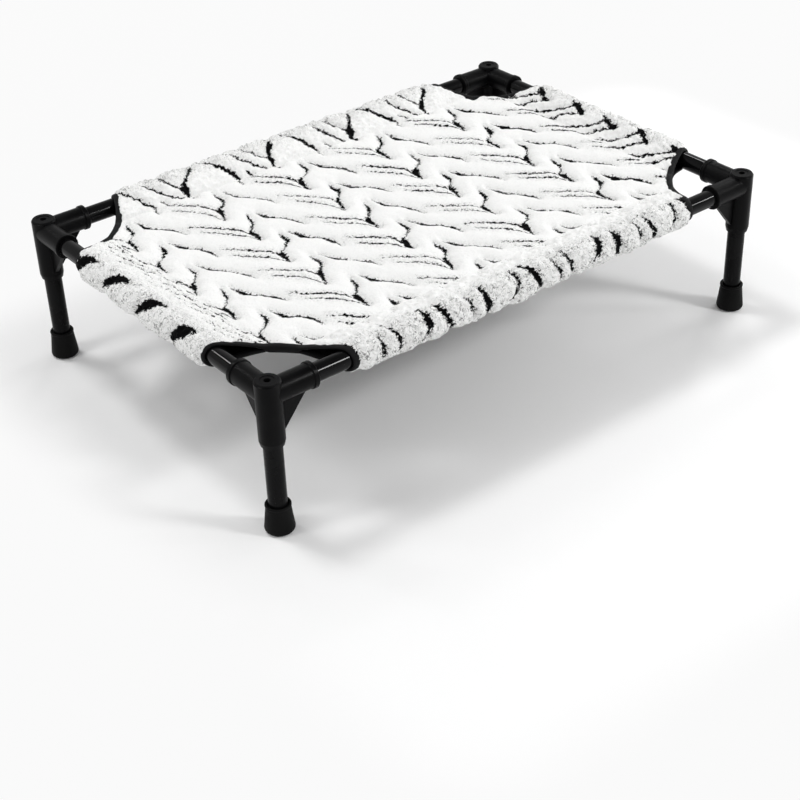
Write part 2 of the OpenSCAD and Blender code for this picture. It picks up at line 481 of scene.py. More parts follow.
def new_group(name: str, inputs: dict[str, str], outputs: Sequence[str]) -> tuple[NodeKit, Sockets]:
    """Starts a shader node group.

    Args:
        name: the group's name.
        inputs: socket type of each input, by name.
        outputs: name of each output, all numbers.

    Returns:
        A kit on the group's tree and the sockets that carry its inputs.
    """
    tree = bpy.data.node_groups.new(name, "ShaderNodeTree")
    for label, kind in inputs.items():
        tree.interface.new_socket(label, in_out="INPUT", socket_type=kind)
    for label in outputs:
        tree.interface.new_socket(label, in_out="OUTPUT", socket_type=FLOAT)
    kit = NodeKit(tree)
    return kit, kit.add("NodeGroupInput").outputs


@dataclass(frozen=True)
class Stroke:
    """One dark stroke of the fleece, as points with half widths, all in millimetres."""

    points: tuple[Point, ...]
    broken: bool = False


@dataclass(frozen=True)
class StrokePattern:
    """Dark strokes of one cut of the fleece, repeated in tiles, all in millimetres of cloth.

    A stroke's points are counted from the tile's origin, and a tile spans one period from its low corner.
    """

    name: str
    origin: tuple[float, float]
    period: tuple[float, float]
    low: tuple[float, float]
    strokes: tuple[Stroke, ...]
    wander: tuple[float, float] = (2.4, 1.8)
    width_change: float = 0.2
    wander_waves: tuple[Point, Point, Point] = (
        (0.041, 0.067, 0.0), (0.053, -0.029, 1.0), (0.083, 0.071, 0.5))
    ragged: tuple[tuple[float, float], ...] = ((95.0, 5.0), (330.0, 7.0), (900.0, 5.0))
    soft_edge: float = 0.3
    drawn_margin: float = 4.0
    break_scale: float = 290.0
    break_ramp: tuple[float, float, float, float] = (0.36, 0.6, 1.1, -0.4)

    @property
    def high(self) -> tuple[float, float]:
        """Far corner of a tile."""
        return self.low[0] + self.period[0], self.low[1] + self.period[1]

    def segments(self, margin: float) -> list[tuple[Point, Point, bool]]:
        """Straight pieces of strokes that lie in a tile or near it, those of its neighbours too.

        Args:
            margin: how far outside the tile a piece still counts.

        Returns:
            Both ends of each piece, and whether its stroke is broken.
        """
        found = []
        for stroke in self.strokes:
            for first, last in zip(stroke.points, stroke.points[1:]):
                for column, row in np.ndindex(3, 3):
                    step = ((column - 1) * self.period[0], (row - 1) * self.period[1])
                    start = (first[0] + step[0], first[1] + step[1], first[2])
                    end = (last[0] + step[0], last[1] + step[1], last[2])
                    if all(max(start[i], end[i]) > self.low[i] - margin
                           and min(start[i], end[i]) < self.high[i] + margin for i in (0, 1)):
                        found.append((start, end, stroke.broken))
        return found

    def clearance(self, s: Array, t: Array, margin: float = 16.0) -> tuple[Array, Array]:
        """Distance from the strokes over a cloth.

        Args:
            s: places along the cloth, in metres.
            t: places across the cloth, in metres.
            margin: distance in millimetres up to which it is exact.

        Returns:
            Millimetres to the nearest bold stroke and to the nearest broken one, below 0 inside.
        """
        s, t = s / MM, t / MM
        move_x, move_y, change = (np.sin(a * s + b * t + c) for a, b, c in self.wander_waves)
        axes = zip((s, t), (move_x, move_y), self.wander, self.origin, self.low, self.period)
        x, y = (np.mod(place + wander * move - origin - low, period) + low
                for place, move, wander, origin, low, period in axes)
        bold, thin = np.full_like(s, margin), np.full_like(s, margin)
        for (ax, ay, aw), (bx, by, bw), broken in self.segments(margin):
            run_x, run_y = bx - ax, by - ay
            share = np.clip(((x - ax) * run_x + (y - ay) * run_y) / (run_x**2 + run_y**2), 0, 1)
            gap = np.hypot(x - ax - run_x * share, y - ay - run_y * share)
            gap = gap - (1.0 + self.width_change * change) * (aw + (bw - aw) * share)
            if broken:
                thin = np.minimum(thin, gap)
            else:
                bold = np.minimum(bold, gap)
        return bold, thin

    def build_group(self) -> bpy.types.NodeTree:
        """Makes the strokes as a node group.

        Returns:
            A group that turns cloth coordinates and a boldness into a stroke mask.
        """
        kit, given = new_group(f"{self.name}_strokes", {"Cloth": VECTOR, "Boldness": FLOAT}, ["Stroke"])
        cloth = given["Cloth"]
        place = kit.scaled(cloth, 1 / MM)
        for scale, reach in self.ragged:
            place = kit.vector("ADD", place, kit.scaled(kit.jitter(cloth, scale), reach))
        waves = []
        for along, across, start in self.wander_waves:
            turn = kit.measure("DOT_PRODUCT", place, (along, across, 0.0))
            waves.append(kit.math("SINE", kit.math("ADD", turn, start)))
        move = kit.add("ShaderNodeCombineXYZ", {0: waves[0], 1: waves[1]}).outputs[0]
        place = kit.vector("ADD", place, kit.vector("MULTIPLY", move, (*self.wander, 0.0)))
        place = kit.vector("SUBTRACT", place, (*self.origin, 0.0))
        spot = kit.vector("WRAP", place, (*self.high, 1.0), (*self.low, 0.0))
        widen = kit.math("MULTIPLY_ADD", waves[2], self.width_change, 1.0)
        widen = kit.math("MULTIPLY", widen, given["Boldness"])
        breaks = kit.ramp(kit.noise(cloth, self.break_scale, 1.0), *self.break_ramp)
        least: object = self.period[0]
        for (ax, ay, aw), (bx, by, bw), broken in self.segments(self.drawn_margin):
            run = (bx - ax, by - ay, 0.0)
            from_start = kit.vector("SUBTRACT", spot, (ax, ay, 0.0))
            share = kit.measure("DOT_PRODUCT", from_start, run)
            share = kit.math("DIVIDE", share, run[0] ** 2 + run[1] ** 2, clamp=True)
            off = kit.vector("SUBTRACT", from_start, kit.scaled(run, share))
            half = kit.math("MULTIPLY", kit.math("MULTIPLY_ADD", share, bw - aw, aw), widen)
            gap = kit.math("SUBTRACT", kit.measure("LENGTH", off), half)
            if broken:
                gap = kit.math("ADD", gap, breaks)
            least = kit.math("MINIMUM", least, gap)
        mask = kit.ramp(least, -self.soft_edge, self.soft_edge, 1.0, 0.0)
        kit.add("NodeGroupOutput", {"Stroke": mask})
        return kit.tree


ONE_TILE = 1000.0
COLUMN = 112.2
ROW = 61.4
ROUGH_EDGE = ((95.0, 5.0), (330.0, 8.0), (900.0, 6.0))


class Cut(Enum):
    """The cuts of fleece in the cover, each with its own run of strokes."""

    BODY = StrokePattern(
        "body", origin=(53.5, 28.4), period=(COLUMN, ROW), low=(-40.0, -22.4),
        strokes=(
            Stroke(((20, 36, 0.4), (18.2, 27, 2.0), (17.2, 18, 2.4), (13.5, 12, 1.3), (6, 5.5, 1.1),
                    (1.5, 2, 2.2), (0, -2, 3.3), (-1.5, -9, 2.9), (-3, -17, 1.8), (-4, -24, 0.6))),
            Stroke(((29.5, 33, 0.5), (31.5, 25, 1.3), (34.8, 15, 2.9), (39, 9, 1.6), (46.7, 1.7, 1.2),
                    (53.5, -10.8, 1.9), (56, -18, 1.2), (57.5, -27, 0.5))),
            Stroke(((-46, 42, 0.7), (-36, 31, 1.4), (-27, 22.5, 1.7), (-14, 10, 1.6), (-2, -1, 2.0)),
                   broken=True),
            Stroke(((-44, 24, 0.7), (-36, 15, 1.4), (-22, 0, 1.6), (-12, -13, 1.7), (-4.5, -23, 1.8)),
                   broken=True),
        ))
    FRONT = StrokePattern(
        "front", origin=(125.0, 41.0), period=(COLUMN, 66.0), low=(-12.0, -84.0),
        strokes=(
            Stroke(((-6, -42, 0.8), (-4, -52, 1.9), (-3, -60, 2.3), (-2, -72, 1.2))),
            Stroke(((9, -33, 1.2), (12, -45, 2.5), (14.5, -55, 3.2), (16, -65, 3.0), (17, -77, 1.5))),
            Stroke(((57, -33, 1.2), (56, -45, 2.9), (54, -56, 3.4), (50, -66, 2.6), (43, -77, 1.2))),
            Stroke(((71, -34, 1.4), (75, -46, 3.5), (77, -56, 4.6), (79, -67, 3.8), (82, -78, 1.6))),
        ),
        ragged=((95.0, 5.0), (330.0, 10.0), (850.0, 7.5)))
    REAR = StrokePattern(
        "rear", origin=(269.0, 0.0), period=(COLUMN, ONE_TILE), low=(-40.0, -ONE_TILE / 2),
        strokes=(
            Stroke(((27, 50, 1.2), (22, 38, 2.6), (13, 28, 2.2), (8.5, 23, 2.6), (4.5, 14, 4.8),
                    (0, 1, 1.4))),
            Stroke(((-16.5, 54, 0.9), (-10, 40, 1.2), (2, 19, 1.8))),
            Stroke(((-32, 42, 0.9), (-25, 29, 2.0), (-15.5, 11, 1.8), (-6, 2, 0.9))),
            Stroke(((41, 46, 1.2), (51, 36, 1.9), (61, 19, 2.5), (65, 9, 3.2), (67, 1, 1.2))),
            Stroke(((80, 10, 1.3), (85, 2, 1.5))),
        ),
        ragged=((95.0, 4.0), (330.0, 7.0), (900.0, 5.0)))
    LEFT = StrokePattern(
        "left", origin=(0.0, 344.6), period=(ONE_TILE, ROW), low=(-ONE_TILE / 2, -52.0),
        strokes=(
            Stroke(((14, 6, 0.6), (35, -45, 1.2), (43, -66, 1.2)), broken=True),
            Stroke(((17, 30, 0.6), (33, -14, 1.2), (43, -43, 1.2)), broken=True),
            Stroke(((-30, -13, 2.0), (-19, -22, 5.2), (-10, -30, 7.2), (-4.5, -38.5, 5.0),
                    (-3, -49, 1.0))),
            Stroke(((-48, -8, 0.8), (-58, -28, 2.4), (-63, -44, 1.0))),
        ),
        ragged=ROUGH_EDGE)
    RIGHT = StrokePattern(
        "right", origin=(624.5, 145.0), period=(ONE_TILE, 55.5), low=(-ONE_TILE / 2, -27.0),
        strokes=(
            Stroke(((5.5, 10.5, 2.4), (0, 0, 4.4), (-4.5, -7.5, 2.8), (-7.7, -17, 4.2))),
            Stroke(((-2.5, 2.5, 2.4), (-16, 12.5, 2.0), (-29, 26.5, 2.1), (-40, 44, 1.2))),
            Stroke(((-7.7, -17, 2.4), (-18, -2.5, 2.0), (-33.5, 5.5, 2.3), (-42, 21, 1.2))),
            Stroke(((24.5, -2, 1.0), (32.5, -14, 2.6), (36.5, -30, 1.1))),
        ),
        ragged=ROUGH_EDGE)


class Groups:
    """Shared effects, each a node group made once, with its scales in lumps per metre."""

    WARP_SCALE = 300.0
    WARP_REACH = 3.0 * MM
    CURL_SCALE = 520.0
    FIBRE_SCALE = 1700.0
    CRIMP_SCALE = 760.0
    LOCK_SCALE = 240.0
    LOCK_PATCH_SCALE = 110.0
    CLOUD_SCALE = 28.0
    SCUFF_SCALE = 900.0
    SCUFF_STRETCH = (1.0, 1.0, 0.12)
    SCUFF_PATCH_SCALE = 45.0

    def __init__(self) -> None:
        """Builds every group."""
        self.strokes = {cut: cut.value.build_group() for cut in Cut}
        self.curls = self.build_curls()
        self.grain = self.build_grain()
        self.weave = self.build_weave()

    def build_curls(self) -> bpy.types.NodeTree:
        """Makes the curly pile.

        Returns:
            A group that turns cloth coordinates into a height of fine wool curls, specks of painted shade
            between them and painted shade on the rims of whole locks.
        """
        kit, given = new_group("wool_curls", {"Cloth": VECTOR}, ["Height", "ShadeSpecks", "RimShade"])
        cloth = given["Cloth"]
        bent = kit.vector("ADD", cloth, kit.scaled(kit.jitter(cloth, self.WARP_SCALE), self.WARP_REACH))
        inputs = {"Vector": bent, "Scale": self.CURL_SCALE}
        cells = kit.add("ShaderNodeTexVoronoi", inputs, feature="SMOOTH_F1")
        heads = kit.ramp(cells.outputs["Distance"], 0.0, 0.75, 1.0, 0.0)
        fibre = kit.noise(bent, self.FIBRE_SCALE, 3.0)
        height = kit.math("MULTIPLY_ADD", fibre, 0.45, kit.math("MULTIPLY", heads, 0.55))
        # Painted shade: worm-shaped specks in the low places between curls, and dark lines along the rims
        # of locks.
        worms = kit.ramp(kit.noise(cloth, self.CRIMP_SCALE, 2.0, 1.6), 0.38, 0.50, 1.0, 0.0)
        shade_specks = kit.math("MULTIPLY", worms, kit.ramp(height, 0.3, 0.6, 1.0, 0.35))
        locks = kit.math("SUBTRACT", kit.noise(bent, self.LOCK_SCALE, 1.0, 1.0), 0.5)
        rim_shade = kit.ramp(kit.math("ABSOLUTE", locks), 0.01, 0.055, 1.0, 0.0)
        patches = kit.ramp(kit.noise(cloth, self.LOCK_PATCH_SCALE), 0.36, 0.58, 0.3, 1.0)
        rim_shade = kit.math("MULTIPLY", rim_shade, patches)
        kit.add("NodeGroupOutput", {"Height": height, "ShadeSpecks": shade_specks, "RimShade": rim_shade})
        return kit.tree

    def build_grain(self) -> bpy.types.NodeTree:
        """Makes the grain of moulded and painted skins.

        Returns:
            A group that gives a fine height, soft clouds and thin scuffs from a place and a grain scale.
        """
        kit, given = new_group("skin_grain", {"Place": VECTOR, "Scale": FLOAT},
                               ["Height", "Clouds", "Scuffs"])
        place = given["Place"]
        fine = kit.noise(place, given["Scale"], 3.0)
        clouds = kit.ramp(kit.noise(place, self.CLOUD_SCALE, 4.0), 0.3, 0.7, 0.0, 1.0)
        stretched = kit.add("ShaderNodeMapping", {"Vector": place, "Scale": self.SCUFF_STRETCH})
        lines = kit.ramp(kit.noise(stretched.outputs[0], self.SCUFF_SCALE, 5.0), 0.60, 0.72, 0.0, 1.0)
        patches = kit.ramp(kit.noise(place, self.SCUFF_PATCH_SCALE), 0.5, 0.68, 0.0, 1.0)
        scuffs = kit.math("MULTIPLY", lines, patches)
        kit.add("NodeGroupOutput", {"Height": fine, "Clouds": clouds, "Scuffs": scuffs})
        return kit.tree

    def build_weave(self) -> bpy.types.NodeTree:
        """Makes a plain weave.

        Returns:
            A group that turns cloth coordinates and a thread pitch into a height of crossing threads.
        """
        kit, given = new_group("plain_weave", {"Cloth": VECTOR, "Pitch": FLOAT}, ["Height"])
        pitch = kit.add("ShaderNodeCombineXYZ", {axis: given["Pitch"] for axis in range(3)}).outputs[0]
        split = kit.add("ShaderNodeSeparateXYZ", {0: kit.vector("DIVIDE", given["Cloth"], pitch)}).outputs
        warp, weft = (kit.math("SINE", kit.math("MULTIPLY", split[axis], math.pi)) for axis in (0, 1))
        over = kit.math("MULTIPLY", warp, weft)
        threads = kit.math("MAXIMUM", kit.math("ABSOLUTE", warp), kit.math("ABSOLUTE", weft))
        height = kit.math("MULTIPLY_ADD", over, 0.3, kit.math("MULTIPLY", threads, 0.7))
        kit.add("NodeGroupOutput", {"Height": height})
        return kit.tree


class Finish:
    """A procedural material on the Principled shader."""

    def __init__(self, name: str, **constants: object) -> None:
        """Makes the material.

        Args:
            name: the finish's name.
            **constants: plain values for the shader's sockets, with _ for a space.
        """
        self.material = bpy.data.materials.new(name)
        self.material.use_nodes = True
        self.kit = NodeKit(self.material.node_tree)
        self.shader = self.material.node_tree.nodes["Principled BSDF"]
        for socket, value in constants.items():
            self.shader.inputs[socket.replace("_", " ")].default_value = value

    def group(self, tree: bpy.types.NodeTree, inputs: dict) -> Sockets:
        """Places a shared group in the material, and gives its outputs."""
        return self.kit.add("ShaderNodeGroup", inputs, node_tree=tree).outputs

    def wire(self, socket: str, value: bpy.types.NodeSocket) -> None:
        """Feeds one of the shader's inputs."""
        self.kit.feed(self.shader.inputs[socket], value)

    def bump(self, height: object, depth: float, strength: float = 1.0) -> None:
        """Feeds the shader's normal from a height, with its depth in metres."""
        node = self.kit.add("ShaderNodeBump", {"Height": height, "Distance": depth, "Strength": strength})
        self.wire("Normal", node.outputs[0])

    def dress(self, piece: bpy.types.Object) -> None:
        """Puts the material on every face of a piece."""
        piece.data.materials.clear()
        piece.data.materials.append(self.material)


@dataclass(frozen=True)
class HardFinish:
    """A moulded, painted or rubber skin: two dark tones, a roughness band and a grain."""

    name: str
    dark: Point
    light: Point
    rough: tuple[float, float]
    grain_scale: float
    grain_depth: float
    scuff: float
    shine: float
    worn_gain: float = 3.0
    worn_lift: float = 0.03
    worn_rough: float = 0.25

    def build(self, groups: Groups) -> Finish:
        """Makes the material.

        Args:
            groups: the shared effects.

        Returns:
            The finish.
        """
        finish = Finish(self.name, Specular_IOR_Level=self.shine)
        kit = finish.kit
        grain = finish.group(groups.grain, {"Place": kit.object_place(), "Scale": self.grain_scale})
        tone = kit.mix(grain["Clouds"], (*self.dark, 1.0), (*self.light, 1.0))
        worn = tuple(min(1.0, self.worn_gain * value + self.worn_lift) for value in self.light)
        scuffs = kit.math("MULTIPLY", grain["Scuffs"], self.scuff)
        finish.wire("Base Color", kit.mix(scuffs, tone, (*worn, 1.0)))
        rough = kit.ramp(grain["Clouds"], 0.0, 1.0, *self.rough)
        finish.wire("Roughness", kit.math("MULTIPLY_ADD", scuffs, self.worn_rough, rough))
        finish.bump(grain["Height"], self.grain_depth)
        return finish


class HardFinishes(Enum):
    """Finishes of the hard pieces."""

    CONNECTOR = HardFinish(
        "moulded_black",
        dark=(0.0015, 0.0015, 0.0017), light=(0.0035, 0.0035, 0.0038),
        rough=(0.28, 0.38), grain_scale=2600.0, grain_depth=0.05 * MM, scuff=0.15, shine=0.07)
    CAP = HardFinish(
        "cap_black",
        dark=(0.003, 0.003, 0.0032), light=(0.006, 0.006, 0.0064),
        rough=(0.40, 0.52), grain_scale=2600.0, grain_depth=0.04 * MM, scuff=0.15, shine=0.06)
    RAIL = HardFinish(
        "gloss_paint",
        dark=(0.0020, 0.0020, 0.0022), light=(0.004, 0.004, 0.0043),
        rough=(0.06, 0.10), grain_scale=420.0, grain_depth=0.004 * MM, scuff=0.1, shine=0.13)
    LEG = HardFinish(
        "satin_paint",
        dark=(0.0020, 0.0020, 0.0022), light=(0.0045, 0.0045, 0.0048),
        rough=(0.22, 0.32), grain_scale=700.0, grain_depth=0.02 * MM, scuff=0.15, shine=0.08)
    FOOT = HardFinish(
        "black_rubber",
        dark=(0.0025, 0.0025, 0.0025), light=(0.0055, 0.0055, 0.0055),
        rough=(0.48, 0.62), grain_scale=1900.0, grain_depth=0.07 * MM, scuff=0.2, shine=0.08)


class SoftFinishes:
    """Finishes of the cloth pieces."""

    PILE_WHITE = (0.885, 0.885, 0.877, 1.0)
    # Grey of the painted shade in the hollows between curls and along lock rims.
    PILE_GAP = (0.24, 0.24, 0.235, 1.0)
    STROKE_BLACK = (0.002, 0.002, 0.0022, 1.0)
    TAPE_DARK = (0.003, 0.003, 0.0033, 1.0)
    TAPE_LIGHT = (0.010, 0.010, 0.0105, 1.0)
    PILE_SHINE = 0.04
    PILE_DEPTH = 0.9 * MM
    PILE_BUMP = 0.6
    WEAVE_SHINE = 0.12
    WEAR_SCALE = 60.0

    def __init__(self, groups: Groups) -> None:
        """Builds the finishes.

        Args:
            groups: the shared effects.
        """
        self.fleece = {cut: self.build_fleece(groups, cut) for cut in Cut}
        self.tape = self.build_woven("binding_tape", groups, pitch=0.75 * MM, depth=0.16 * MM)
        self.backing = self.build_woven("backing_weave", groups, pitch=1.1 * MM, depth=0.20 * MM)
        self.thread = self.build_woven("black_thread", groups, pitch=0.35 * MM, depth=0.08 * MM)

    def build_fleece(self, groups: Groups, cut: Cut) -> Finish:
        """Makes the white curly pile with its black strokes and painted shade between its curls, on a
        black knit.

        Args:
            groups: the shared effects.
            cut: the cut of fleece.

        Returns:
            The finish.
        """
        finish = Finish(f"{cut.value.name}_fleece", Specular_IOR_Level=self.PILE_SHINE)
        kit = finish.kit
        cloth = kit.cloth_place()
        curls = finish.group(groups.curls, {"Cloth": cloth})
        inputs = {"Cloth": cloth, "Boldness": kit.attribute(BOLDNESS)}
        stroke = finish.group(groups.strokes[cut], inputs)["Stroke"]
        # Painted shade: the grey goes into the hollows between curls, onto specks and onto lock rims,
        # weighted by the shade number on the cloth's points.
        curl_shade = kit.attribute(CURL_SHADE)
        hollow_shade = kit.ramp(kit.attribute(CURL), 0.15, 0.6, 0.6, 0.0)
        gap_shade = kit.math("MULTIPLY", kit.math("MAXIMUM", curls["ShadeSpecks"], hollow_shade), curl_shade)
        gap_shade = kit.math("MULTIPLY", gap_shade, kit.ramp(curl_shade, 0.7, 1.0, 1.0, 0.4))
        rim_shade = kit.math("MULTIPLY", curls["RimShade"], kit.ramp(curl_shade, 0.7, 1.0, 0.0, 1.0))
        white = kit.mix(kit.math("MAXIMUM", gap_shade, rim_shade), self.PILE_WHITE, self.PILE_GAP)
        knit_back = kit.add("ShaderNodeNewGeometry").outputs["Backfacing"]
        pile = kit.mix(stroke, white, self.STROKE_BLACK)
        finish.wire("Base Color", kit.mix(knit_back, pile, self.TAPE_LIGHT))
        finish.wire("Roughness", kit.ramp(stroke, 0.0, 1.0, 0.95, 0.8))
        finish.bump(curls["Height"], self.PILE_DEPTH, self.PILE_BUMP)
        return finish

    def build_woven(self, name: str, groups: Groups, pitch: float, depth: float) -> Finish:
        """Makes a black woven cloth.

        Args:
            name: the finish's name.
            groups: the shared effects.
            pitch: thread spacing in metres.
            depth: depth of the weave in metres.

        Returns:
            The finish.
        """
        finish = Finish(name, Specular_IOR_Level=self.WEAVE_SHINE)
        kit = finish.kit
        cloth = kit.cloth_place()
        height = finish.group(groups.weave, {"Cloth": cloth, "Pitch": pitch})["Height"]
        worn = kit.noise(cloth, self.WEAR_SCALE, 3.0)
        # Painted shade and highlight: thread tops painted lighter and the dips between threads darker by
        # the weave's height, varied by random wear.
        tone = kit.math("MULTIPLY", height, kit.ramp(worn, 0.3, 0.7, 0.7, 1.0))
        finish.wire("Base Color", kit.mix(tone, self.TAPE_DARK, self.TAPE_LIGHT))
        finish.wire("Roughness", kit.ramp(height, 0.0, 1.0, 0.8, 0.55))
        finish.bump(height, depth)
        return finish


@dataclass
class Patch:
    """Points of a cloth patch before it is a mesh."""

    spots: Array
    cloth: Array
    numbers: dict[str, Array] = field(default_factory=dict)
    outward: Vector = field(default_factory=lambda: Vector((0, 0, 1)))


def wrapped_grid(name: str, columns: int, rows: int, place: Callable[[Array, Array], Patch],
                 closed: bool = False) -> bpy.types.Object:
    """Bends a fine grid into a cloth piece.

    Args:
        name: the piece's name.
        columns: cells along the first direction.
        rows: cells along the second direction.
        place: gives the patch for grid places from 0 to 1 along both directions.
        closed: joins the second direction's two ends and caps the first direction's.

    Returns:
        The piece, smooth shaded, with its cloth coordinates and numbers.
    """
    bm = bmesh.new()
    bmesh.ops.create_grid(bm, x_segments=columns, y_segments=rows, size=0.5)
    bm.verts.index_update()
    flat = np.array([v.co[:2] for v in bm.verts])
    flat = (flat - flat.min(0)) / (flat.max(0) - flat.min(0))
    patch = place(flat[:, 0], flat[:, 1])
    for vert, spot in zip(bm.verts, patch.spots):
        vert.co = spot
    uv = bm.loops.layers.uv.new(CLOTH_UV)
    layers = {label: bm.verts.layers.float.new(label) for label in patch.numbers}
    for label, values in patch.numbers.items():
        for vert, value in zip(bm.verts, values):
            vert[layers[label]] = value
    for face in bm.faces:
        face.smooth = True
        for loop in face.loops:
            loop[uv].uv = patch.cloth[loop.vert.index]
    if closed:
        bmesh.ops.remove_doubles(bm, verts=bm.verts, dist=MERGE_REACH)
        bmesh.ops.holes_fill(bm, edges=[e for e in bm.edges if e.is_boundary], sides=0)
        bmesh.ops.recalc_face_normals(bm, faces=bm.faces)
    else:
        bm.normal_update()
        total = sum((face.normal for face in bm.faces), Vector())
        if total.dot(patch.outward) < 0:
            bmesh.ops.reverse_faces(bm, faces=bm.faces)
    return put_mesh(name, bm)


@dataclass
class Pile:
    """Pile over places of a cloth."""

    height: Array
    at_seam: Array
    curls: Array
    ruffled: Array


@dataclass(frozen=True)
class PileHeights:
    """Heights of one kind of pile: lobes between the strokes, curls, uneven lumps and small knobs."""

    lobe: float
    curl: float
    lump: float
    knob: float


@dataclass
class FleeceCover:
    """The stretched cover: a fleece panel, four fleece sleeves and the woven backing.

    Sizes are in metres, but reaches of lobes, grooves and ruffles from a stroke are in millimetres.
    """

    sizes: CotSizes
    panel_step: float = 1.4 * MM
    sleeve_step: float = 0.9 * MM
    backing_step: float = 5 * MM
    pile_inset: float = 1.4 * MM
    panel_pile: PileHeights = PileHeights(lobe=2.6 * MM, curl=0.5 * MM, lump=0.6 * MM, knob=0.2 * MM)
    sleeve_pile: PileHeights = PileHeights(lobe=1.6 * MM, curl=2.2 * MM, lump=1.0 * MM, knob=1.5 * MM)
    seam_lobe: float = 1.5 * MM
    lobe_reach: float = 8.0
    groove: float = 2.2 * MM
    groove_reach: float = 2.8
    dash_groove: float = 0.9 * MM
    dash_reach: float = 2.2
    dash_curl: float = 0.8 * MM
    dash_curl_reach: float = 5.5
    curl_cell: float = 2.7 * MM
    curl_root: float = 0.4
    lump_cell: float = 14 * MM
    fine_lump: float = 0.5
    fine_lump_cell: float = 6 * MM
    knob_cell: float = 4.5 * MM
    seam_dip: float = 0.5 * MM
    seam_width: float = 6.0 * MM
    rear_seam_dip: float = 1.2 * MM
    rear_seam_width: float = 3.0 * MM
    rear_seam_lump: float = 0.8
    rear_seam_cell: float = 9 * MM
    edge_width: float = 3.0 * MM
    edge_ragged: float = 1.2 * MM
    edge_cell: float = 3.5 * MM
    edge_press: float = 0.8 * MM
    mouth_width: float = 7.0 * MM
    mouth_press: float = 2.4 * MM
    bold_ruffle: float = 2.2
    # Weights of the painted shade between curls: light on the panel's top, heavier beside strokes, full
    # down the sleeves' walls that stand in shade.
    top_shade: float = 0.14
    ruffle_shade: float = 0.70
    wall_shade: Fade = Fade(amount=1.0, start=18 * MM, length=28 * MM)
    bold_right: Fade = Fade(amount=0.3, start=0.50, length=0.06)
    faint_left: Fade = Fade(amount=-0.15, start=0.10, length=-0.05)
    front_strokes: Fade = Fade(amount=2.0, start=26 * MM, length=8 * MM)
    wool: Lattice = Lattice(7)

    def pile(self, cut: Cut, cloth: Array, heights: PileHeights) -> Pile:
        """Pile over the cloth.

        Args:
            cut: the cut of fleece.
            cloth: places on the cloth, in metres.
            heights: the kind of pile.

        Returns:
            The free pile, its height at a seam, its curls and how ruffled it is beside the strokes,
            which weights the painted shade there.
        """
        s, t = cloth.T
        bold, thin = (np.maximum(gap, 0.0) for gap in cut.value.clearance(s, t))
        puff = 1.0 - fall_off(bold, self.lobe_reach)
        grooves = self.groove * fall_off(bold, self.groove_reach)
        grooves += self.dash_groove * fall_off(thin, self.dash_reach)
        curls = self.wool.curls(s, t, self.curl_cell)
        near_dash = fall_off(thin, self.dash_curl_reach)
        curl = heights.curl + self.dash_curl * near_dash
        lumps = self.wool.lumps(s, t, self.lump_cell)
        lumps = lumps + self.fine_lump * self.wool.lumps(s, t, self.fine_lump_cell)
        knobs = self.wool.lumps(s, t, self.knob_cell)
        height = heights.lobe * puff - grooves + curl * (curls - self.curl_root)
        height = height + heights.lump * lumps + heights.knob * knobs
        ruffled = np.maximum(near_dash, fall_off(bold, self.bold_ruffle))
        return Pile(height, self.seam_lobe + self.panel_pile.lump * lumps, curls, ruffled)

    def crease(self, along: Array) -> Array:
        """Height of the pile in the rear seam, which both its sides share."""
        lumps = self.wool.lumps(along, np.zeros_like(along), self.rear_seam_cell)
        return self.rear_seam_dip * (self.rear_seam_lump * lumps - 1.0)

    def settle(self, height: Array, at_seam: Array, to_seam: Array, width: Array | float) -> Array:
        """Draws the pile to one height at the seams.

        Args:
            height: heights of the free pile.
            at_seam: heights that both sides of the seam share.
            to_seam: distance from the nearest seam.
            width: distance over which the pile stands up from the seam.

        Returns:
            The settled heights.
        """
        free = ease(to_seam / width)
        return height * free + at_seam * (1 - free)

    def press(self, height: Array, to_edge: Array, cloth: Array, press: float, width: float) -> Array:
        """Presses the pile down beside the binding tape.

        Args:
            height: heights of the pile.
            to_edge: distance from where the tape lets go of the pile.
            cloth: places on the cloth.
            press: depth at the tape.
            width: distance over which the pile stands up again.

        Returns:
            The pressed heights.
        """
        ragged = self.edge_ragged * self.wool.lumps(cloth[:, 0], cloth[:, 1], self.edge_cell)
        held = ease((to_edge + ragged) / width)
        return height * held - press * (1 - held)

    def panel_limit(self, y: Array) -> Array:
        """Half length of the panel at a place across it, drawn in by the corner cut-outs."""
        reach = self.sizes.scoop_reach(self.sizes.leg_y - np.abs(y))
        return self.sizes.leg_x - np.maximum(self.sizes.seam_inset, reach)

    def place_panel(self, u: Array, v: Array) -> Patch:
        """Lays out the panel between the seams.

        Args:
            u: grid places from 0 to 1 along the cot.
            v: grid places from 0 to 1 across it.

        Returns:
            The patch with its pile, seams and pressed edges.
        """
        size = self.sizes
        half_x, half_y = size.panel_reach
        y = (2 * v - 1) * half_y
        x = (2 * u - 1) * self.panel_limit(y)
        cloth = np.stack([x + size.leg_x, y + size.leg_y], 1)
        pile = self.pile(Cut.BODY, cloth, self.panel_pile)
        to_seam = np.minimum(half_x - np.abs(x), half_y - np.abs(y))
        at_rear = half_y - y < half_x - np.abs(x)
        at_seam = np.where(at_rear, self.crease(x), pile.at_seam - self.seam_dip)
        seam_width = np.where(at_rear, self.rear_seam_width, self.seam_width)
        height = self.settle(pile.height, at_seam, to_seam, seam_width)
        bare = np.zeros_like(x)
        for corner in Corner:
            sign_x, sign_y = corner.signs
            bare[(sign_x * x > 0) & (sign_y * y > 0)] = corner.bare_tape
        to_edge = size.from_scoop(size.leg_x - np.abs(x), size.leg_y - np.abs(y)) - bare
        height = self.press(height, to_edge, cloth, self.edge_press, self.edge_width)
        z = size.panel_top - self.pile_inset + height - size.sag_at(x, y)
        bold = 1.0 + self.bold_right.at(cloth[:, 0]) + self.faint_left.at(cloth[:, 0])
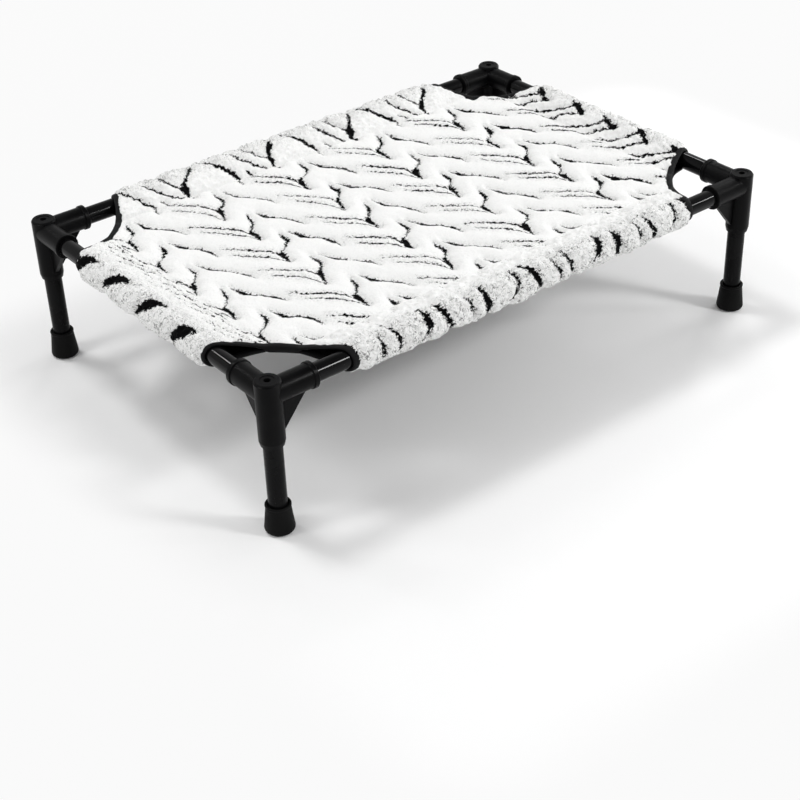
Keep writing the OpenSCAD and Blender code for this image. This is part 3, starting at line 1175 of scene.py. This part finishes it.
        # Painted shade between curls: light on the top, heavier beside the strokes.
        curl_shade = self.top_shade + self.ruffle_shade * pile.ruffled
        return Patch(np.stack([x, y, z], 1), cloth, {BOLDNESS: bold, CURL: pile.curls, CURL_SHADE: curl_shade})

    def build_panel(self) -> bpy.types.Object:
        """Makes the fleece between the seams.

        Returns:
            The panel.
        """
        length, width = (2 * half for half in self.sizes.panel_reach)
        columns, rows = round(length / self.panel_step), round(width / self.panel_step)
        piece = wrapped_grid("fleece_top", columns, rows, self.place_panel)
        return piece

    @staticmethod
    def cut_of(side: Side) -> Cut:
        """The cut of fleece that a sleeve is sewn from."""
        return Cut[side.name]

    def sleeve_section(self) -> DropSection:
        """Outline that the pile of a sleeve stands on."""
        size = self.sizes
        return DropSection(size.sleeve_r - self.pile_inset, size.seam_inset,
                           size.half_panel - self.pile_inset)

    def boldness(self, side: Side, girth: Array) -> Array:
        """How heavy a sleeve's strokes are.

        Args:
            side: the rail's side.
            girth: distance from the upper seam round the rail.

        Returns:
            Shares of the strokes' width, below 0 for none.
        """
        if side is Side.FRONT:
            return self.front_strokes.at(girth) - 1.0
        return np.ones_like(girth)

    def sleeve_cloth(self, side: Side, along: Array, girth: Array) -> Array:
        """Cloth coordinates of a sleeve.

        Args:
            side: the rail's side.
            along: distance along the rail from its middle.
            girth: distance from the upper seam round the rail.

        Returns:
            Places on the cloth, carried on from the panel's but at the rear.
        """
        size = self.sizes
        if side is Side.FRONT:
            return np.stack([along + size.leg_x, size.seam_inset - girth], 1)
        if side is Side.LEFT:
            return np.stack([size.seam_inset - girth, along + size.leg_y], 1)
        if side is Side.RIGHT:
            return np.stack([2 * size.leg_x - size.seam_inset + girth, along + size.leg_y], 1)
        return np.stack([along + size.leg_x, girth], 1)

    def place_sleeve(self, side: Side, u: Array, v: Array) -> Patch:
        """Lays out the sleeve round one rail, from its upper seam over the rail to its lower seam.

        Args:
            side: the rail's side.
            u: grid places from 0 to 1 along the rail.
            v: grid places from 0 to 1 round it.

        Returns:
            The patch with its pile, seams and pressed mouths.
        """
        size = self.sizes
        section = self.sleeve_section()
        girth = v * section.girth
        inward, up, normal_in, normal_up = section.at(girth)
        reach = size.rail_reach(side)
        along = (2 * u - 1) * (reach - size.scoop_reach(inward))
        cloth = self.sleeve_cloth(side, along, girth)
        pile = self.pile(self.cut_of(side), cloth, self.sleeve_pile)
        to_seam = np.minimum(girth, section.girth - girth)
        at_rear = side is Side.REAR
        at_seam = self.crease(along) if at_rear else pile.at_seam - self.seam_dip
        at_seam = np.where(girth < section.girth / 2, at_seam, 0.0)
        seam_width = self.rear_seam_width if at_rear else self.seam_width
        height = self.settle(pile.height, at_seam, to_seam, seam_width)
        to_edge = size.from_scoop(reach - np.abs(along), inward)
        height = self.press(height, to_edge, cloth, self.mouth_press, self.mouth_width)
        upright = 1.0 - ease(to_seam / (2 * self.seam_width))
        normal_in = normal_in * (1 - upright)
        normal_up = np.sign(normal_up) * np.sqrt(1 - normal_in**2)
        x, y = size.beside_rail(side, along, inward + normal_in * height)
        spots = np.stack([x, y, size.rail_z + up + normal_up * height], 1)
        # Painted shade between curls: rises from the sleeve's top to full down its shaded wall.
        wall = self.wall_shade.at(girth)
        curl_shade = np.maximum(self.top_shade + (1 - self.top_shade) * wall, self.ruffle_shade * pile.ruffled)
        numbers = {BOLDNESS: self.boldness(side, girth), CURL: pile.curls, CURL_SHADE: curl_shade}
        return Patch(spots, cloth, numbers, Vector((*side.value, 0)))

    def build_sleeve(self, side: Side) -> bpy.types.Object:
        """Makes the fleece round one rail.

        Args:
            side: the rail's side.

        Returns:
            The sleeve.
        """
        size = self.sizes
        section = self.sleeve_section()
        length = 2 * (size.rail_reach(side) - float(size.scoop_reach(np.array(size.seam_inset))))
        columns, rows = round(length / self.sleeve_step), round(section.girth / self.sleeve_step)
        piece = wrapped_grid(f"fleece_{side.label}", columns, rows,
                             lambda u, v: self.place_sleeve(side, u, v))
        return piece

    def place_backing(self, u: Array, v: Array) -> Patch:
        """Lays out the underside of the woven backing.

        Args:
            u: grid places from 0 to 1 along the cot.
            v: grid places from 0 to 1 across it.

        Returns:
            The patch.
        """
        size = self.sizes
        y = (2 * v - 1) * size.panel_reach[1]
        x = (2 * u - 1) * self.panel_limit(y)
        z = size.backing_bottom - size.sag_at(x, y)
        return Patch(np.stack([x, y, z], 1), np.stack([x, y], 1), outward=Vector((0, 0, -1)))

    def build_backing(self) -> bpy.types.Object:
        """Makes the woven backing under the panel.

        Returns:
            The backing, with its thickness.
        """
        size = self.sizes
        length, width = (2 * half for half in size.panel_reach)
        columns, rows = round(length / self.backing_step), round(width / self.backing_step)
        piece = wrapped_grid("woven_backing", columns, rows, self.place_backing)
        wall = piece.modifiers.new("thickness", "SOLIDIFY")
        wall.thickness = size.backing_top - size.backing_bottom
        wall.offset = -1.0
        return piece


@dataclass
class CornerBinding:
    """Binding tape folded over the cover's edge round one corner cut-out and its two sleeve mouths."""

    sizes: CotSizes
    corner: Corner
    step: float = 1.2 * MM
    profile_points: int = 28
    outside: float = 1.2 * MM
    inside: float = 6.0 * MM
    mouth_gap: float = 2.0 * MM
    over_sleeve: float = 1.7 * MM
    over_panel: float = 4.2 * MM
    under_sleeve: float = 1.6 * MM
    under_panel: float = 4.2 * MM
    squareness: float = 2.8
    pucker: float = 0.35 * MM
    under_wave: float = 0.9 * MM
    stitch_pitch: float = 4.0 * MM
    stitch_from_edge: float = 4.6 * MM
    stitch_height: float = 0.93
    mouth_samples: int = 160
    scoop_samples: int = 30
    soften_rounds: int = 12
    wave_cell: float = 11 * MM
    wave_row: float = 0.02
    wave_spread: float = 0.004
    slack_cell: float = 23 * MM
    slack_row: float = 0.05
    puckers: Lattice = Lattice(11)
    slack: Lattice = Lattice(12)

    @staticmethod
    def blend(on_panel: Array, sleeve: float, panel: float) -> Array:
        """A height that is one value on the sleeves and another on the panel."""
        return sleeve + (panel - sleeve) * on_panel

    def path(self) -> tuple[Array, Array, Array]:
        """Middle of the bound edge.

        Returns:
            Points, cloth normals and whether the panel is bound there, from 0 to 1, from one
            sleeve's lower seam over both rails to the other's.
        """
        size = self.sizes
        section = DropSection(size.tube_r + self.mouth_gap, size.seam_inset, size.half_panel / 2)
        girth = np.linspace(0.0, section.girth, self.mouth_samples)
        inward, up, normal_in, normal_up = section.at(girth)
        reach, none = size.scoop_reach(inward), np.zeros_like(inward)
        first = np.stack([reach, inward, up], 1)[::-1]
        first_normal = np.stack([none, normal_in, normal_up], 1)[::-1]
        last = np.stack([inward, reach, up], 1)
        last_normal = np.stack([normal_in, none, normal_up], 1)
        start = math.atan2(size.seam_inset - size.scoop_centre, first[-1, 0] - size.scoop_centre)
        turn = np.linspace(start, math.pi / 2 - start, self.scoop_samples)[1:-1]
        level = np.zeros_like(turn)
        scoop = np.stack([size.scoop_centre + size.scoop_r * np.cos(turn),
                          size.scoop_centre + size.scoop_r * np.sin(turn), level], 1)
        scoop_normal = np.tile((0.0, 0.0, 1.0), (len(turn), 1))
        points = np.concatenate([first, scoop, last])
        normals = np.concatenate([first_normal, scoop_normal, last_normal])
        on_panel = np.concatenate([np.zeros(len(first)), np.ones(len(scoop)), np.zeros(len(last))])
        return self.evened(points, normals, on_panel)

    def evened(self, points: Array, normals: Array, on_panel: Array) -> tuple[Array, Array, Array]:
        """Spaces the path evenly and softens its kinks.

        Args:
            points: points of the path.
            normals: the cloth's normal at each.
            on_panel: whether the panel is bound there, from 0 to 1.

        Returns:
            The same three, evened.
        """
        run = np.concatenate([[0.0], np.cumsum(np.linalg.norm(np.diff(points, axis=0), axis=1))])
        even = np.linspace(0.0, run[-1], round(run[-1] / self.step) + 1)
        rows = np.column_stack([points, normals, on_panel])
        rows = np.stack([np.interp(even, run, column) for column in rows.T], 1)
        for _ in range(self.soften_rounds):
            rows[1:-1] = (rows[:-2] + 2 * rows[1:-1] + rows[2:]) / 4
        return rows[:, :3], rows[:, 3:6], rows[:, 6]

    def frames(self) -> tuple[Array, Array, Array, Array, Array]:
        """Moving axes along the path.

        Returns:
            Points, tangents, directions into the cloth, normals and whether the panel is bound there.
        """
        points, normals, on_panel = self.path()
        tangent = np.gradient(points, axis=0)
        tangent /= np.linalg.norm(tangent, axis=1, keepdims=True)
        normals = normals - tangent * np.sum(normals * tangent, 1, keepdims=True)
        normals /= np.linalg.norm(normals, axis=1, keepdims=True)
        return points, tangent, np.cross(tangent, normals), normals, on_panel

    def to_cot(self, local: Array) -> Array:
        """Turns places by the leg into places on the cot.

        Args:
            local: places counted from the leg towards the middle, and up from the rails.

        Returns:
            The places in the cot's own frame.
        """
        sign_x, sign_y = self.corner.signs
        size = self.sizes
        return np.stack([sign_x * (size.leg_x - local[:, 0]), sign_y * (size.leg_y - local[:, 1]),
                         size.rail_z + local[:, 2]], 1)

    def place_tape(self, u: Array, v: Array) -> Patch:
        """Lays out the folded tape round the path.

        Args:
            u: grid places from 0 to 1 along the path.
            v: grid places from 0 to 1 round the tape.

        Returns:
            The patch of a closed tape.
        """
        points, _, into, normals, on_panel = self.frames()
        index = np.rint(u * (len(points) - 1)).astype(int)
        angle = 2 * math.pi * v
        bend = 2.0 / self.squareness
        cosine, sine = np.cos(angle), np.sin(angle)
        across = np.sign(cosine) * np.abs(cosine) ** bend
        raised = np.sign(sine) * np.abs(sine) ** bend
        half = (self.outside + self.inside) / 2
        along = index * self.step
        waves = self.puckers.lumps(along, self.wave_row + self.wave_spread * cosine, self.wave_cell)
        slack = self.slack.lumps(along, np.full_like(along, self.slack_row), self.slack_cell)
        share = on_panel[index]
        over = self.blend(share, self.over_sleeve, self.over_panel)
        under = self.blend(share, self.under_sleeve, self.under_panel)
        height = np.where(raised > 0, over + self.pucker * waves, under + self.under_wave * share * slack)
        local = (points[index] + into[index] * ((self.inside - self.outside) / 2 + half * across)[:, None]
                 + normals[index] * (height * raised)[:, None])
        girth = 2 * (self.outside + self.inside) + 4 * self.over_sleeve
        return Patch(self.to_cot(local), np.stack([along, v * girth], 1))

    def build_tape(self) -> bpy.types.Object:
        """Makes the tape.

        Returns:
            The binding of this corner.
        """
        columns = len(self.path()[0]) - 1
        name = f"tape_{self.corner.label}"
        return wrapped_grid(name, columns, self.profile_points, self.place_tape, closed=True)

    def build_stitches(self) -> bpy.types.Object:
        """Makes the row of stitches that holds the tape.

        Returns:
            The stitches of this corner.
        """
        points, tangent, into, normals, on_panel = self.frames()
        sign_x, sign_y = self.corner.signs
        flip = np.array([-sign_x, -sign_y, 1.0])
        every = max(1, round(self.stitch_pitch / self.step))
        over = self.stitch_height * self.blend(on_panel, self.over_sleeve, self.over_panel)
        inset = self.stitch_from_edge - self.outside
        row = StitchRow(f"tape_stitches_{self.corner.label}")
        for i in range(every, len(points) - every, every):
            spot = points[i] + into[i] * inset + normals[i] * over[i]
            row.add(self.to_cot(spot[None])[0], tangent[i] * flip, normals[i] * flip)
        return row.build()


@dataclass
class StitchRow:
    """A row of thread stitches, each a flattened bead of thread."""

    name: str
    length: float = 2.7 * MM
    width: float = 0.75 * MM
    height: float = 0.55 * MM
    places: list[Matrix] = field(default_factory=list)

    def add(self, spot: Array, along: Array, normal: Array) -> None:
        """Puts a stitch on a surface.

        Args:
            spot: the stitch's middle.
            along: direction in which it lies.
            normal: the surface's normal there.
        """
        forward, up = Vector(along).normalized(), Vector(normal).normalized()
        side = up.cross(forward).normalized()
        turn = Matrix((forward, side, forward.cross(side))).transposed().to_4x4()
        scale = Matrix.Diagonal((self.length / 2, self.width / 2, self.height / 2, 1.0))
        self.places.append(Matrix.Translation(Vector(spot)) @ turn @ scale)

    def build(self) -> bpy.types.Object:
        """Makes the row.

        Returns:
            One piece with all its stitches.
        """
        bm = bmesh.new()
        uv = bm.loops.layers.uv.new(CLOTH_UV)
        for place in self.places:
            made = bmesh.ops.create_icosphere(bm, subdivisions=1, radius=1.0, matrix=place)
            inverse = place.inverted()
            for face in {face for vert in made["verts"] for face in vert.link_faces}:
                face.smooth = True
                for loop in face.loops:
                    spot = inverse @ loop.vert.co
                    loop[uv].uv = (spot.x * self.length / 2, spot.y * self.width / 2)
        return put_mesh(self.name, bm)


@dataclass
class SeamStitching:
    """Two rows of stitches under the cover along each sleeve's seam."""

    sizes: CotSizes
    pitch: float = 4.0 * MM
    offsets: tuple[float, float] = (4 * MM, 9 * MM)
    sink: float = 0.1 * MM
    mouth_clear: float = 8 * MM

    def build(self) -> bpy.types.Object:
        """Makes all the rows.

        Returns:
            One piece with the stitches of the four seams.
        """
        size = self.sizes
        row = StitchRow("seam_stitches")
        down = np.array((0, 0, -1.0))
        for side in Side:
            out_x, out_y = side.value
            forward = np.array((abs(out_y), abs(out_x), 0))
            for offset in self.offsets:
                inward = size.seam_inset + offset
                mouth = float(size.scoop_reach(np.array(inward))) + self.mouth_clear
                limit = size.rail_reach(side) - max(inward, mouth)
                for along in np.arange(-limit, limit, self.pitch):
                    x, y = size.beside_rail(side, along, inward)
                    z = size.backing_bottom - float(size.sag_at(np.array(x), np.array(y))) + self.sink
                    row.add(np.array((x, y, z)), forward, down)
        return row.build()


@dataclass(frozen=True)
class Lamp:
    """A square soft lamp that points at the cot."""

    name: str
    place: Point
    power: float
    size: float

    def build(self) -> None:
        """Hangs the lamp."""
        lamp = bpy.data.lights.new(self.name, "AREA")
        lamp.energy = self.power
        lamp.size = self.size
        holder = put(self.name, lamp)
        holder.location = self.place
        holder.rotation_euler = Vector(self.place).to_track_quat("Z", "Y").to_euler()


@dataclass(frozen=True)
class Studio:
    """Pale floor and soft light on white: past the cot's shadow the floor is seen as plain white."""

    floor_size: float = 60.0
    floor_white: Colour = (0.94, 0.94, 0.94, 1.0)
    floor_rough: float = 0.9
    floor_shine: float = 0.1
    mottle: float = 0.985
    mottle_scale: float = 3.0
    backdrop_white: float = 0.95
    shade_middle: Point = (0.14, -0.13, 0.0)
    shade_half: Point = (0.47, 0.38, 0.0)
    shade_fade: tuple[float, float] = (0.02, 0.13)
    wall_light: float = 0.64
    roof_light: float = 0.22
    roof_from: tuple[float, float] = (0.5, 0.9)
    lamps: tuple[Lamp, ...] = (
        Lamp("key_lamp", (-0.8, 1.95, 5.0), power=74.0, size=1.0),
        Lamp("front_right_lamp", (1.34, -2.18, 1.92), power=30.0, size=0.45),
        Lamp("right_lamp", (2.2, 0.2, 0.9), power=16.0, size=1.2),
        Lamp("far_right_lamp", (2.75, -2.18, 1.92), power=7.5, size=0.2),
        Lamp("left_lamp", (-1.6, 0.3, 1.6), power=8.0, size=0.5),
        Lamp("rear_lamp", (-0.96, 2.1, 2.2), power=4.6, size=0.2),
        Lamp("rear_right_lamp", (1.51, 1.62, 2.25), power=3.7, size=0.2),
    )

    def build_floor(self) -> None:
        """Makes the floor, which keeps the cot's shadow and is clear from below."""
        bm = bmesh.new()
        bmesh.ops.create_grid(bm, x_segments=8, y_segments=8, size=self.floor_size / 2)
        floor = put_mesh("studio_floor", bm)
        finish = Finish("studio_floor", Roughness=self.floor_rough, Specular_IOR_Level=self.floor_shine,
                        Emission_Strength=self.backdrop_white)
        kit = finish.kit
        place = kit.object_place()
        past = kit.vector("ABSOLUTE", kit.vector("SUBTRACT", place, self.shade_middle))
        past = kit.vector("MAXIMUM", kit.vector("SUBTRACT", past, self.shade_half), (0.0, 0.0, 0.0))
        away = kit.ramp(kit.measure("LENGTH", past), *self.shade_fade, 0.0, 1.0)
        rays = kit.add("ShaderNodeLightPath").outputs
        seen = kit.math("MAXIMUM", rays["Is Glossy Ray"], rays["Is Transmission Ray"])
        plain = kit.math("MULTIPLY", away, kit.math("MAXIMUM", rays["Is Camera Ray"], seen))
        darker = tuple(self.mottle * value for value in self.floor_white[:3])
        tone = kit.mix(kit.noise(place, self.mottle_scale, 3.0), self.floor_white, (*darker, 1.0))
        finish.wire("Base Color", kit.mix(plain, tone, BLACK))
        finish.wire("Emission Color", kit.mix(plain, BLACK, WHITE))
        below = kit.add("ShaderNodeNewGeometry").outputs["Backfacing"]
        finish.wire("Alpha", kit.math("SUBTRACT", 1.0, below))
        finish.dress(floor)

    def build_sky(self) -> None:
        """Makes the white surroundings, brighter round the sides than overhead."""
        world = bpy.data.worlds.new("studio_white")
        bpy.context.scene.world = world
        world.use_nodes = True
        kit = NodeKit(world.node_tree)
        background = world.node_tree.nodes["Background"]
        background.inputs["Color"].default_value = WHITE
        height = kit.add("ShaderNodeSeparateXYZ", {0: kit.object_place()}).outputs["Z"]
        light = kit.ramp(height, *self.roof_from, self.wall_light, self.roof_light)
        kit.feed(background.inputs["Strength"], light)

    def build(self) -> None:
        """Makes the floor, the surroundings and the lamps."""
        self.build_floor()
        self.build_sky()
        for lamp in self.lamps:
            lamp.build()


@dataclass(frozen=True)
class Viewpoint:
    """The photograph's camera: where it looks, from where, and how it is turned."""

    target: Point = (-0.0910, -0.1119, 0.0)
    distance: float = 1.722
    azimuth: float = -37.424
    elevation: float = 33.642
    roll: float = -2.083
    lens: float = 73.195
    sensor: float = 36.0
    farthest: float = 50.0

    def build(self) -> None:
        """Makes the camera and gives it to the scene."""
        turn, rise, tilt = (math.radians(a) for a in (self.azimuth, self.elevation, self.roll))
        back = Vector((math.sin(turn) * math.cos(rise), -math.cos(turn) * math.cos(rise), math.sin(rise)))
        right = (-back).cross(Vector((0, 0, 1))).normalized()
        up = right.cross(-back)
        right, up = (
            math.cos(tilt) * right + math.sin(tilt) * up,
            -math.sin(tilt) * right + math.cos(tilt) * up,
        )
        data = bpy.data.cameras.new("photo_camera")
        data.lens = self.lens
        data.sensor_width = self.sensor
        data.clip_end = self.farthest
        camera = put("photo_camera", data)
        camera.rotation_euler = Matrix((right, up, back)).transposed().to_euler()
        camera.location = Vector(self.target) + back * self.distance
        bpy.context.scene.camera = camera


class DogCot:
    """The whole cot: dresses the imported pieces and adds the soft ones."""

    HARD_NODES = {
        "connector": HardFinishes.CONNECTOR,
        "cap": HardFinishes.CAP,
        "rail": HardFinishes.RAIL,
        "leg": HardFinishes.LEG,
        "foot": HardFinishes.FOOT,
    }

    def __init__(self) -> None:
        """Reads the sizes and builds the finishes."""
        self.sizes = CotSizes.from_frame()
        self.groups = Groups()
        self.soft = SoftFinishes(self.groups)

    def dress_hard_pieces(self) -> None:
        """Gives the moulded, painted and rubber pieces their finishes."""
        finishes = {kind: choice.value.build(self.groups) for kind, choice in self.HARD_NODES.items()}
        for name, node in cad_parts.items():
            kind = name.split("_")[0]
            if kind in finishes:
                finishes[kind].dress(node)
                LOG.info("dressed %s", name)

    def fit(self, piece: bpy.types.Object, finish: Finish, slot: str, *nodes: str) -> None:
        """Dresses a new piece and fixes it to the frame.

        Args:
            piece: the piece.
            finish: its finish.
            slot: not used.
            *nodes: the CAD nodes that it stands for, if any.
        """
        finish.dress(piece)
        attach(piece, ROOT_BODY)
        if nodes:
            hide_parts(*nodes)
        LOG.info("built %s with %d faces", piece.name, len(piece.data.polygons))

    def build_cover(self) -> None:
        """Makes the panel, the sleeves, the backing and the seam stitches."""
        cover = FleeceCover(self.sizes)
        self.fit(cover.build_panel(), self.soft.fleece[Cut.BODY], "fleece", "fleece_panel")
        for side in Side:
            finish = self.soft.fleece[cover.cut_of(side)]
            self.fit(cover.build_sleeve(side), finish, "fleece", f"sleeve_{side.label}")
        self.fit(cover.build_backing(), self.soft.backing, "backing_weave", "backing_cloth")
        self.fit(SeamStitching(self.sizes).build(), self.soft.thread, "binding_tape")

    def build_bindings(self) -> None:
        """Makes the tape and its stitches at each corner."""
        for corner in Corner:
            binding = CornerBinding(self.sizes, corner)
            self.fit(binding.build_tape(), self.soft.tape, "binding_tape", f"binding_{corner.label}")
            self.fit(binding.build_stitches(), self.soft.thread, "binding_tape")


def main() -> None:
    """Builds the cot, the studio and the camera."""
    logging.basicConfig(level=logging.INFO, format="%(message)s")
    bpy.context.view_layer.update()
    bpy.context.scene.view_settings.view_transform = "Standard"
    cot = DogCot()
    cot.dress_hard_pieces()
    cot.build_cover()
    cot.build_bindings()
    Studio().build()
    Viewpoint().build()


if __name__ == "__main__":
    main()
